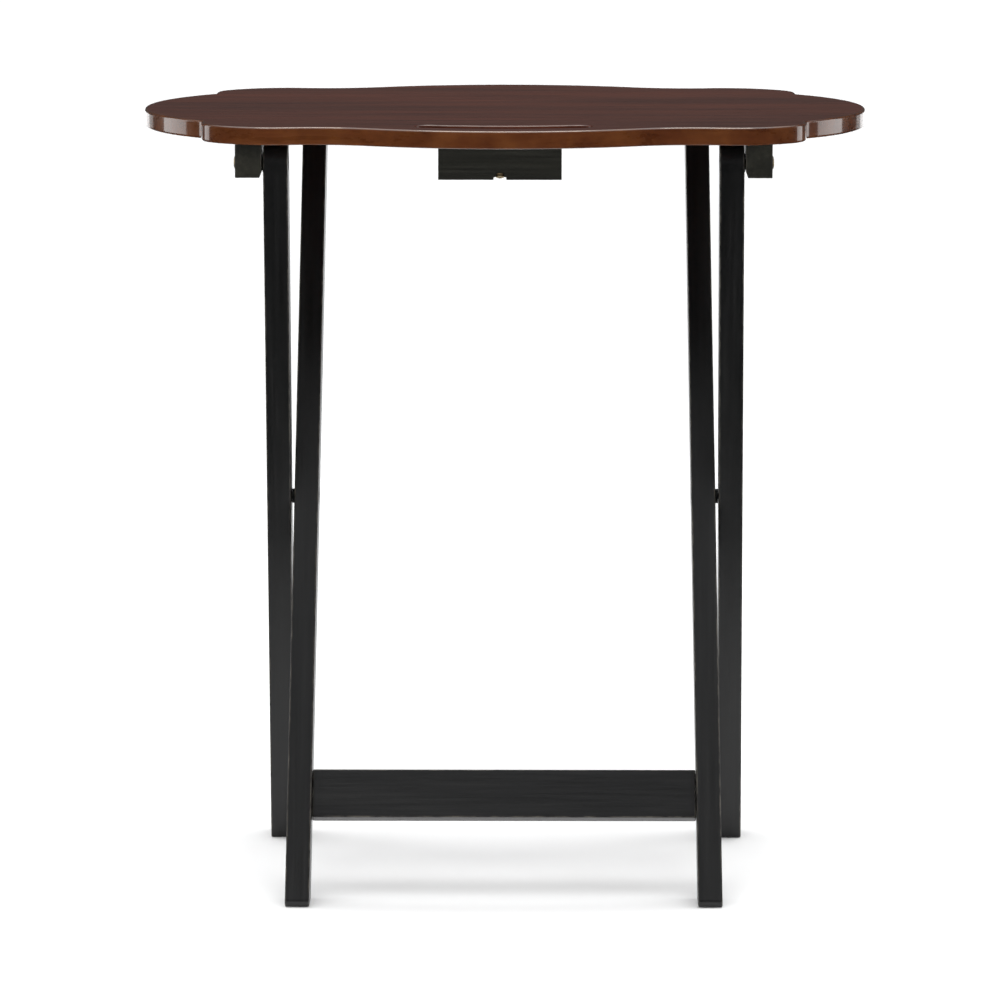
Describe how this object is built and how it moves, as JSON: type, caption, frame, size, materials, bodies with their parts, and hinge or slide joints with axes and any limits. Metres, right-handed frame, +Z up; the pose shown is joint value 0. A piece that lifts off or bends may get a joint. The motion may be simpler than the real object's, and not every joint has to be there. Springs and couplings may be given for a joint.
{
  "type": "folding_tray_table",
  "caption": "Folding tray table: a scalloped mahogany board with a handle slot, on two crossed pairs of black wooden legs that fold like scissors",
  "frame": {"origin": "on the floor, under the middle of the tabletop's bounding box", "axes": "+X to the right seen from the handle slot's side, +Y from the handle slot to the rear, +Z up"},
  "size_m": [0.61, 0.406, 0.66],
  "materials": {
    "mahogany": "semi-gloss",
    "black_wood": "satin",
    "brass": "polished",
    "black_steel": "satin",
    "zinc_steel": "zinc plated",
    "spring_steel": "bright",
    "black_nylon": "matte"
  },
  "bodies": {
    "outer_legs": {"outer_leg_left": "black_wood", "outer_leg_right": "black_wood", "hinge_washer_left": "black_nylon", "hinge_washer_right": "black_nylon", "scissor_bolt_left": "black_steel", "scissor_bolt_right": "black_steel", "scissor_spacer_left": "black_nylon", "scissor_spacer_right": "black_nylon", "scissor_nut_left": "zinc_steel", "scissor_nut_right": "zinc_steel"},
    "inner_frame": {"inner_leg_left": "black_wood", "inner_leg_right": "black_wood", "stretcher": "black_wood", "crossbar_dowel": "black_wood", "stretcher_screw_left_upper": "black_steel", "stretcher_screw_left_lower": "black_steel", "stretcher_screw_right_upper": "black_steel", "stretcher_screw_right_lower": "black_steel", "crossbar_screw_left": "black_steel", "crossbar_screw_right": "black_steel"},
    "top": {"tabletop": "mahogany", "cleat_left": "black_wood", "cleat_right": "black_wood", "grip_block": "black_wood", "crossbar_clip_left": "spring_steel", "crossbar_clip_right": "spring_steel", "block_screw_brass": "brass", "block_screw_left": "black_steel", "block_screw_right": "black_steel", "cleat_screw_left_front": "black_steel", "cleat_screw_left_rear": "black_steel", "cleat_screw_right_front": "black_steel", "cleat_screw_right_rear": "black_steel", "clip_screw_left_inner": "zinc_steel", "clip_screw_left_outer": "zinc_steel", "clip_screw_right_inner": "zinc_steel", "clip_screw_right_outer": "zinc_steel", "hinge_bolt_left": "brass", "hinge_bolt_right": "brass", "hinge_nut_left": "zinc_steel", "hinge_nut_right": "zinc_steel"}
  },
  "joints": [
    {"name": "leg_scissor", "type": "hinge", "parent": "outer_legs", "child": "inner_frame", "pos_m": [0, 0.01, 0.325], "axis": [1, 0, 0], "range_deg": [0, 48]},
    {"name": "top_hinge", "type": "hinge", "parent": "outer_legs", "child": "top", "pos_m": [0, -0.12401, 0.626], "axis": [1, 0, 0], "range_deg": [0, 24]}
  ],
  "couplings": [
    {"joint": "top_hinge", "follows": "leg_scissor", "ratio": 0.5}
  ]
}
